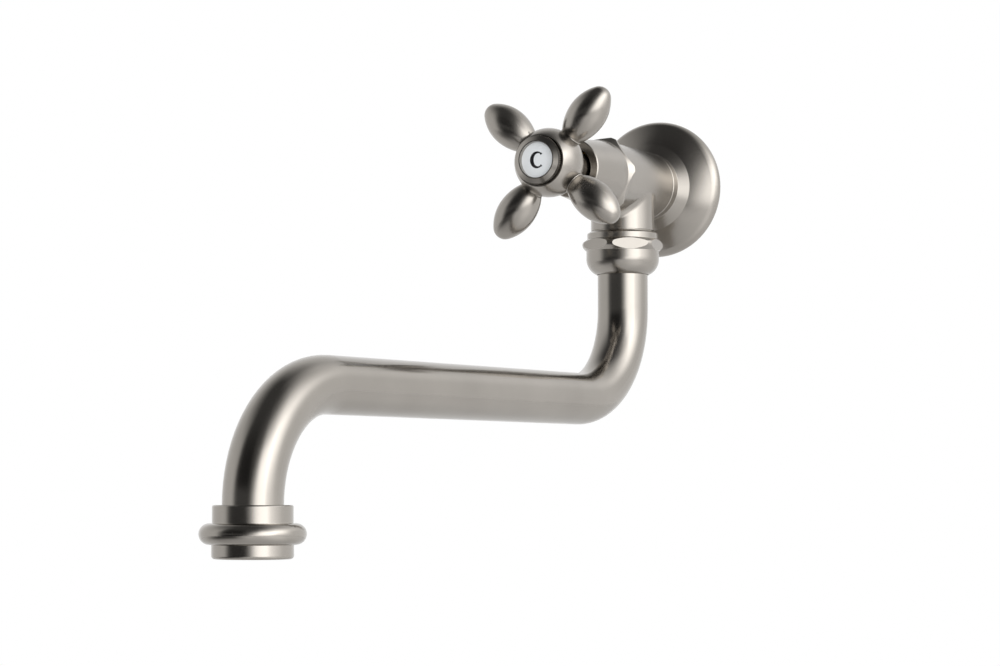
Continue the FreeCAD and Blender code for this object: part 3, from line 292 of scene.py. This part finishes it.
def light_studio():
    """World: white to the camera, and a room to all else

    The room is dark ahead and overhead, with a faint doorway ahead and pale walls at the left
    and behind. A softbox leans at the right, and a window stands further back. Metal sees
    what is low behind the tap as white, like the camera.
    """
    world = bpy.data.worlds.new("studio")
    bpy.context.scene.world = world
    world.use_nodes = True
    graph = Graph(world.node_tree)
    direction = graph.node("ShaderNodeTexCoord").outputs["Generated"]
    azimuth = graph.azimuth(direction)
    elevation = graph.elevation(direction)

    walls = graph.ramp(azimuth, WALLS, *AZIMUTHS)
    tops = [(turned, top / STRAIGHT_UP) for turned, top in WALL_TOPS]
    above = graph.maths("MULTIPLY_ADD", graph.ramp(azimuth, tops, *AZIMUTHS),
                        -STRAIGHT_UP, elevation)
    wall_height = graph.ramp(above, WALL_FADE, *ELEVATIONS)
    over_ceiling = graph.maths("SUBTRACT", walls, CEILING)
    light = graph.maths("MULTIPLY_ADD", over_ceiling, wall_height, CEILING)

    leaned = graph.maths("MULTIPLY_ADD", elevation, -SOFTBOX_LEAN, azimuth)
    softbox = graph.area(leaned, SOFTBOX_SIDES, elevation, SOFTBOX_HEIGHT)
    window = graph.area(azimuth, WINDOW_SIDES, elevation, WINDOW_HEIGHT)
    doorway = graph.area(azimuth, DOORWAY_SIDES, elevation, DOORWAY_HEIGHT)
    for opening, strength in ((softbox, SOFTBOX), (window, WINDOW), (doorway, DOORWAY)):
        light = graph.maths("MULTIPLY_ADD", opening, strength, light)

    path = graph.node("ShaderNodeLightPath").outputs
    rear = graph.area(azimuth, REAR_SIDES, elevation, REAR_HEIGHT)
    mirrored = graph.maths("MULTIPLY", path["Is Glossy Ray"], rear)
    seen = graph.maths("MAXIMUM", path["Is Camera Ray"], path["Is Transmission Ray"])
    seen = graph.maths("MAXIMUM", seen, mirrored)
    room = graph.node("ShaderNodeBackground", {"Color": light})
    white = graph.node("ShaderNodeBackground", {"Color": (1, 1, 1, 1)})
    both = graph.node("ShaderNodeMixShader", {0: seen, 1: room.outputs[0], 2: white.outputs[0]})
    graph.node("ShaderNodeOutputWorld", {"Surface": both.outputs[0]})


def hang_fill_lamp():
    """Large soft lamp in front, for what is matt; polished metal doesn't show it"""
    data = bpy.data.lights.new("fill", "AREA")
    data.shape = "DISK"
    data.size = FILL_SIZE
    data.energy = FILL_WATTS
    lamp = bpy.data.objects.new("fill", data)
    lamp.location = FILL_SPOT
    lamp.rotation_euler = (-FILL_SPOT).to_track_quat("-Z", "Y").to_euler()
    lamp.visible_camera = False
    lamp.visible_glossy = False
    bpy.context.scene.collection.objects.link(lamp)


def floor_paint():
    """White to the camera; in metal it shows painted light and painted shade, whose brightness
    differs with the side and the distance
    """
    paint = bpy.data.materials.new("floor_white")
    paint.use_nodes = True
    graph = Graph(paint.node_tree)
    path = graph.node("ShaderNodeLightPath").outputs
    place = graph.node("ShaderNodeTexCoord").outputs["Object"]
    azimuth = graph.azimuth(place)
    reach = graph.node("ShaderNodeVectorMath", {0: place}, operation="LENGTH").outputs["Value"]

    # Painted light: the floor glows in metal, brightest at the right towards the softbox and
    # darkest ahead at the left
    painted_light = graph.ramp(azimuth, FLOOR_PAINTED_LIGHT_AROUND, *AZIMUTHS)
    painted_light = graph.maths("SUBTRACT", painted_light, FLOOR_PAINTED_LIGHT_UNDER)
    outwards = graph.ramp(reach, FLOOR_PAINTED_LIGHT_SPREAD, 0, FLOOR_REACH)
    painted_light = graph.maths("MULTIPLY_ADD", painted_light, outwards, FLOOR_PAINTED_LIGHT_UNDER)
    mirrored = graph.maths("MULTIPLY", painted_light, path["Is Glossy Ray"])
    seen = graph.maths("MAXIMUM", path["Is Camera Ray"], path["Is Transmission Ray"])
    strength = graph.maths("MULTIPLY_ADD", seen, FLOOR_OWN, mirrored)

    # Painted shade: in metal the floor's paint turns darker far ahead at the left
    painted_shade = graph.maths("MULTIPLY", graph.ramp(azimuth, FLOOR_PAINTED_SHADE_SIDES, *AZIMUTHS),
                      graph.ramp(reach, FLOOR_PAINTED_SHADE_FROM, 0, FLOOR_REACH))
    painted_shade = graph.maths("MULTIPLY", painted_shade, path["Is Glossy Ray"])
    painted_shade = graph.maths("MULTIPLY", painted_shade, FLOOR_PAINTED_SHADE)
    paleness_and_painted_shade = graph.maths("MULTIPLY_ADD", painted_shade, -FLOOR_WHITE, FLOOR_WHITE)

    glow = graph.node("ShaderNodeEmission", {"Strength": strength})
    matt = graph.node("ShaderNodeBsdfDiffuse", {"Color": paleness_and_painted_shade})
    both = graph.node("ShaderNodeAddShader", {0: glow.outputs[0], 1: matt.outputs[0]})
    graph.node("ShaderNodeOutputMaterial", {"Surface": both.outputs[0]})
    return paint


def lay_floor():
    """Round floor far below the tap"""
    mesh = bpy.data.meshes.new("floor")
    form = bmesh.new()
    bmesh.ops.create_circle(form, cap_ends=True, segments=FLOOR_SEGMENTS, radius=FLOOR_REACH)
    form.to_mesh(mesh)
    form.free()
    mesh.materials.append(floor_paint())
    floor = bpy.data.objects.new("floor", mesh)
    floor.location.z = FLOOR_LEVEL
    bpy.context.scene.collection.objects.link(floor)


def plain_finish(name, colour, metallic, roughness,
                 spread=ROUGHNESS_SPREAD, shade=TONE_SPREAD):
    """Surface whose colour, roughness and height vary with procedural noise"""
    material = bpy.data.materials.new(name)
    material.use_nodes = True
    graph = Graph(material.node_tree)
    place = graph.node("ShaderNodeTexCoord").outputs["Object"]
    patches = graph.noise(place, PATCH_SCALE, PATCH_DETAIL)
    grain = graph.noise(place, GRAIN_SCALE, GRAIN_DETAIL)
    tone = graph.remap(patches, *NOISE_SPAN, 1 - shade, 1 + shade)
    both = graph.maths("ADD", patches, grain)
    rough = graph.remap(both, *NOISE_SUM_SPAN, roughness - spread, roughness + spread)
    bumps = graph.node("ShaderNodeBump", {"Height": grain, "Distance": GRAIN_DEPTH})
    shader = graph.node("ShaderNodeBsdfPrincipled", {
        "Base Color": graph.tint(colour, tone), "Metallic": metallic, "Roughness": rough,
        "Normal": bumps.outputs[0]})
    graph.node("ShaderNodeOutputMaterial", {"Surface": shader.outputs[0]})
    return material


def nickel_finish(name, roughness, swell_height, edge):
    """Satin nickel: fine grain, faint stains, a slight swell, and edges worn smooth that also
    carry a painted highlight
    """
    material = bpy.data.materials.new(name)
    material.use_nodes = True
    graph = Graph(material.node_tree)
    place = graph.node("ShaderNodeTexCoord").outputs["Object"]
    stain = graph.noise(place, STAIN_SCALE, STAIN_DETAIL)
    grain = graph.noise(place, SATIN_SCALE, SATIN_DETAIL)
    swell = graph.noise(place, SWELL_SCALE, SWELL_DETAIL)

    rounded = graph.node("ShaderNodeBevel", {"Radius": edge}, samples=EDGE_SAMPLES).outputs[0]
    wide = graph.node("ShaderNodeBevel", {"Radius": WEAR_AND_HIGHLIGHT_REACH}, samples=EDGE_SAMPLES).outputs[0]
    flat = graph.node("ShaderNodeNewGeometry").outputs["Normal"]
    lean = graph.node("ShaderNodeVectorMath", {0: wide, 1: flat}, operation="DOT_PRODUCT")
    # Mask along the edges, for the smoother worn finish and for the painted highlight
    wear_and_highlight = graph.remap(lean.outputs["Value"], *WEAR_AND_HIGHLIGHT_LEAN, 0.0, 1.0)
    wear_and_highlight = graph.maths("MULTIPLY", wear_and_highlight, graph.maths("ADD", grain, WEAR_AND_HIGHLIGHT_LEAST))

    tone = graph.remap(stain, *NOISE_SPAN, *STAIN_TONE)
    # Painted highlight: a lighter tone along the edges
    tone = graph.maths("MULTIPLY_ADD", wear_and_highlight, PAINTED_EDGE_HIGHLIGHT, tone)
    rough = roughness
    for noise, share in ((stain, STAIN_ROUGHNESS), (grain, SATIN_ROUGHNESS)):
        centred = graph.maths("SUBTRACT", noise, NOISE_MEAN)
        rough = graph.maths("MULTIPLY_ADD", centred, share, rough)
    rough = graph.maths("MULTIPLY_ADD", wear_and_highlight, WEAR_ROUGHNESS, rough)
    waves = graph.node("ShaderNodeBump", {
        "Height": swell, "Distance": swell_height, "Normal": rounded})
    bumps = graph.node("ShaderNodeBump", {
        "Height": grain, "Distance": SATIN_DEPTH, "Normal": waves.outputs[0]})
    shader = graph.node("ShaderNodeBsdfPrincipled", {
        "Base Color": graph.tint(NICKEL, tone), "Metallic": 1.0, "Roughness": rough,
        "Normal": bumps.outputs[0]})
    graph.node("ShaderNodeOutputMaterial", {"Surface": shader.outputs[0]})
    return material


def mix_finishes():
    """Every material by its name"""
    made = {name: nickel_finish(name, *values) for name, values in NICKELS.items()}
    made.update((name, plain_finish(name, *values)) for name, values in OTHERS.items())
    return made


def dress_nodes(finishes):
    """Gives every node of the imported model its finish"""
    for node in frame["nodes"].values():
        for slot in node.material_slots:
            slot.material = finishes[slot.material.name]


def place_piece(name, form, material, body):
    """Adds a mesh piece that rides on a body and has the given material"""
    bmesh.ops.recalc_face_normals(form, faces=form.faces)
    mesh = bpy.data.meshes.new(name)
    form.to_mesh(mesh)
    form.free()
    mesh.shade_smooth()
    mesh.set_sharp_from_angle(angle=SHARP_ANGLE)
    mesh.materials.append(material)
    thing = bpy.data.objects.new(name, mesh)
    bpy.context.scene.collection.objects.link(thing)
    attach(thing, body)
    return thing


def bridge(form, rings):
    """Quads between neighbouring rings of vertices"""
    for before, after in zip(rings, rings[1:]):
        count = len(before)
        for index in range(count):
            follow = (index + 1) % count
            form.faces.new((before[index], before[follow], after[follow], after[index]))


def print_letter(finishes):
    """Black letter C on the crown of the porcelain, with a swelling stroke and ball ends"""
    low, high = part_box("index_disc")
    rim = (high[0] - low[0]) / 2
    crown = (rim ** 2 + PORCELAIN_CROWN ** 2) / 2 / PORCELAIN_CROWN
    form = bmesh.new()
    rings = []
    for step in range(LETTER_STEPS + 1):
        share = step / LETTER_STEPS
        turn = math.radians(LETTER_OPEN + (360 - 2 * LETTER_OPEN) * share)
        half = STROKE_THIN + STROKE_SWELL * (0.5 - 0.5 * math.cos(turn)) ** 2
        half += STROKE_BALL * (math.exp(-(share / UPPER_BALL) ** 2)
                               + math.exp(-((1 - share) / LOWER_BALL) ** 2))
        ring = []
        for side, lift in ((-1, INK_SUNK), (1, INK_SUNK), (1, INK_PROUD), (-1, INK_PROUD)):
            x = (LETTER_WIDTH + side * half) * math.cos(turn)
            z = (LETTER_HEIGHT + side * half) * math.sin(turn)
            fall = crown - math.sqrt(crown ** 2 - x ** 2 - z ** 2)
            ring.append(form.verts.new((x, low[1] + fall - lift, z)))
        rings.append(ring)
    bridge(form, rings)
    form.faces.new(rings[0])
    form.faces.new(rings[-1])
    place_piece("letter", form, finishes["black_enamel"], "handle")


def cut_inlet_thread(finishes):
    """Nipple with a pipe thread behind the wall's face and a spanner hexagon in front of it"""
    low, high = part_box("inlet_nipple")
    form = bmesh.new()
    turns = [math.tau * index / THREAD_SEGMENTS for index in range(THREAD_SEGMENTS)]

    def ring(y, reaches):
        return [form.verts.new((reach * math.cos(turn), y, reach * math.sin(turn)))
                for turn, reach in zip(turns, reaches)]

    def hexagon(turn):
        off_flat = (turn + HEX_SIXTH / 2) % HEX_SIXTH - HEX_SIXTH / 2
        return HEX_HALF / math.cos(off_flat)

    def thread(y, turn):
        """Radius of the thread, which starts at its root and runs out at its crest"""
        wave = 0.5 + 0.5 * math.cos(math.tau * (y / THREAD_PITCH - turn / math.tau))
        full = THREAD_ROOT + (THREAD_CREST - THREAD_ROOT) * wave ** THREAD_FULLNESS
        from_end = (high[1] - y) / THREAD_LEAD_IN
        from_hex = y / THREAD_RUN_OUT
        bare = THREAD_CREST if from_hex < 1 else THREAD_ROOT
        return bare + (full - bare) * max(0.0, min(1.0, from_end, from_hex))

    bore = [NIPPLE_BORE] * THREAD_SEGMENTS
    shank = [THREAD_CREST] * THREAD_SEGMENTS
    spanner = [hexagon(turn) for turn in turns]
    rings = [ring(low[1], bore), ring(high[1], bore)]
    rows = round(high[1] / THREAD_PITCH * THREAD_ROWS)
    for row in range(rows + 1):
        y = high[1] * (1 - row / rows)
        rings.append(ring(y, [thread(y, turn) for turn in turns]))
    rings += [ring(0.0, spanner), ring(-HEX_THICK, spanner)]
    rings += [ring(-HEX_THICK, shank), ring(low[1], shank)]
    bridge(form, rings + rings[:1])
    brass = finishes["raw_brass"]
    nipple = place_piece("threaded_nipple", form, brass, "tap_body")
    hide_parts("inlet_nipple")


aim_camera()
light_studio()
hang_fill_lamp()
lay_floor()
finishes = mix_finishes()
dress_nodes(finishes)
print_letter(finishes)
cut_inlet_thread(finishes)
bpy.context.scene.view_settings.view_transform = "Standard"
